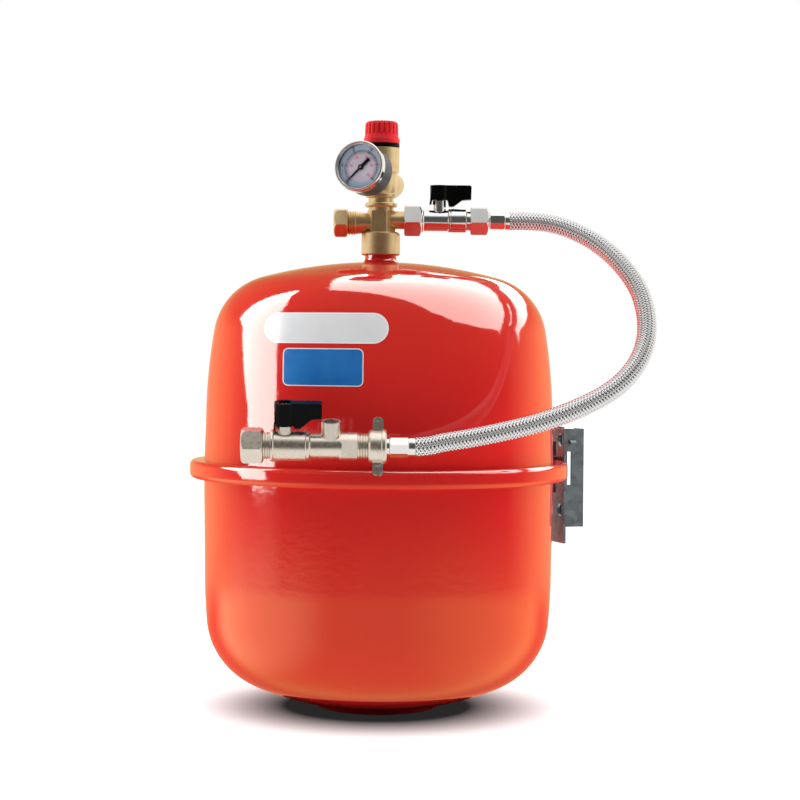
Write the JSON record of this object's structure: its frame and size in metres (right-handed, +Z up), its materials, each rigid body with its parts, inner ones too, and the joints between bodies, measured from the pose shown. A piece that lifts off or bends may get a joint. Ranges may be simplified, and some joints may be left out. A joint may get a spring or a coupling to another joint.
{
  "type": "expansion vessel",
  "caption": "Red steel expansion vessel with brass manifold, safety valve, pressure gauge, quarter-turn valves, braided filling hose and wall bracket.",
  "frame": {"origin": "centre of the standing ring at floor level", "axes": "+Z up the vessel axis, -Y towards the gauge and the filling valve, +X towards the hose loop"},
  "size_m": [0.3482, 0.3156, 0.4495],
  "materials": {
    "red_paint": "glossy orange-red powder coat",
    "white_print": "blank white film",
    "blue_print": "plain blue film",
    "brass": "machined and cast brass",
    "soft_brass": "dull brass",
    "nickel": "nickel plate, satin to bright",
    "stainless": "woven bright stainless wire",
    "spring_steel": "drawn wire",
    "galvanised": "galvanised sheet with spangle",
    "black_plastic": "fine satin moulding",
    "red_plastic": "satin red moulding",
    "white_plastic": "dense white plastic",
    "case_metal": "dark satin metal",
    "dial": "pale printed dial",
    "lens": "clear lens",
    "rubber": "moulded rubber",
    "fibre": "fibre washer"
  },
  "bodies": {
    "vessel": {"upper_shell": "red_paint", "lower_shell": "red_paint", "clamp_ring": "red_paint", "diaphragm": "rubber", "neck_boss": "red_paint", "neck_gasket": "fibre", "air_valve_stem": "brass", "label_pill": "white_print", "label_panel": "blue_print", "manifold_body": "brass", "left_nut": "brass", "left_olive": "soft_brass", "right_union_nut": "nickel", "fibre_washers": "fibre", "upper_valve_body": "nickel", "upper_valve_end": "nickel", "upper_valve_seats": "white_plastic", "hose_swivel_nut": "nickel", "hose_tail_upper": "nickel", "hose_ferrule_upper": "nickel", "hose_braid": "stainless", "hose_ferrule_lower": "nickel", "hose_tail_lower": "nickel", "lower_valve_body": "nickel", "lower_valve_seats": "white_plastic", "lower_nut": "nickel", "lower_olive": "soft_brass", "check_cartridges": "white_plastic", "safety_body": "brass", "safety_collar": "black_plastic", "gauge_case": "case_metal", "gauge_bezel": "nickel", "gauge_glass": "lens", "gauge_dial": "dial", "gauge_movement": "brass", "gauge_stem": "brass", "wall_bracket": "galvanised"},
    "upper_lever": {"upper_lever": "black_plastic", "upper_lever_screw": "spring_steel", "upper_stem": "brass", "upper_ball": "nickel"},
    "lower_lever": {"lower_lever": "black_plastic", "lower_lever_screw": "spring_steel", "lower_stem": "brass", "lower_ball": "nickel"},
    "needle": {"gauge_needle": "black_plastic"},
    "safety_cap": {"safety_cap": "red_plastic"},
    "safety_lift": {"safety_spindle": "brass", "safety_disc": "rubber", "safety_spring": "spring_steel"},
    "wing_nut": {"wing_nut": "nickel"},
    "check_1": {"check_poppet_1": "rubber", "check_spring_1": "spring_steel"},
    "check_2": {"check_poppet_2": "rubber", "check_spring_2": "spring_steel"},
    "air_core": {"air_valve_core": "brass"},
    "air_cap": {"air_valve_cap": "black_plastic"}
  },
  "joints": [
    {"name": "upper_lever_turn", "type": "hinge", "parent": "vessel", "child": "upper_lever", "pos_m": [0.0449, 0, 0.3735], "axis": [0, 0, 1], "range_deg": [0, 90]},
    {"name": "lower_lever_turn", "type": "hinge", "parent": "vessel", "child": "lower_lever", "pos_m": [-0.0656, -0.156, 0.2065], "axis": [0, -0.2419, 0.9703], "range_deg": [-90, 0]},
    {"name": "needle_turn", "type": "hinge", "parent": "vessel", "child": "needle", "pos_m": [-0.0174, -0.045, 0.4116], "axis": [0.3391, 0.9317, -0.1305], "range_deg": [0, 270], "stiffness_Nm_per_rad": 0.0002, "springref_deg": -17.19},
    {"name": "safety_cap_turn", "type": "hinge", "parent": "vessel", "child": "safety_cap", "pos_m": [0, 0, 0.44], "axis": [0, 0, 1], "range_deg": [0, 90]},
    {"name": "safety_lift", "type": "slide", "parent": "vessel", "child": "safety_lift", "axis": [0, 0, 1], "range_m": [0, 0.002], "deforming": ["safety_spring"]},
    {"name": "wing_nut_turn", "type": "hinge", "parent": "vessel", "child": "wing_nut", "pos_m": [0, -0.156, 0.2065], "axis": [1, 0, 0], "continuous": true},
    {"name": "check_1_open", "type": "slide", "parent": "vessel", "child": "check_1", "axis": [1, 0, 0], "range_m": [0, 0.002], "stiffness_N_per_m": 50, "springref_m": -0.001},
    {"name": "check_2_open", "type": "slide", "parent": "vessel", "child": "check_2", "axis": [1, 0, 0], "range_m": [0, 0.002], "stiffness_N_per_m": 50, "springref_m": -0.001},
    {"name": "air_core_press", "type": "slide", "parent": "vessel", "child": "air_core", "axis": [0, 0, 1], "range_m": [0, 0.0012], "stiffness_N_per_m": 300, "springref_m": -0.0005},
    {"name": "air_cap_off", "type": "slide", "parent": "vessel", "child": "air_cap", "axis": [0, 0, -1], "range_m": [0, 0.014]}
  ],
  "couplings": [
    {"joint": "safety_cap_turn", "follows": "safety_lift", "rad_per_m": 785.4}
  ]
}
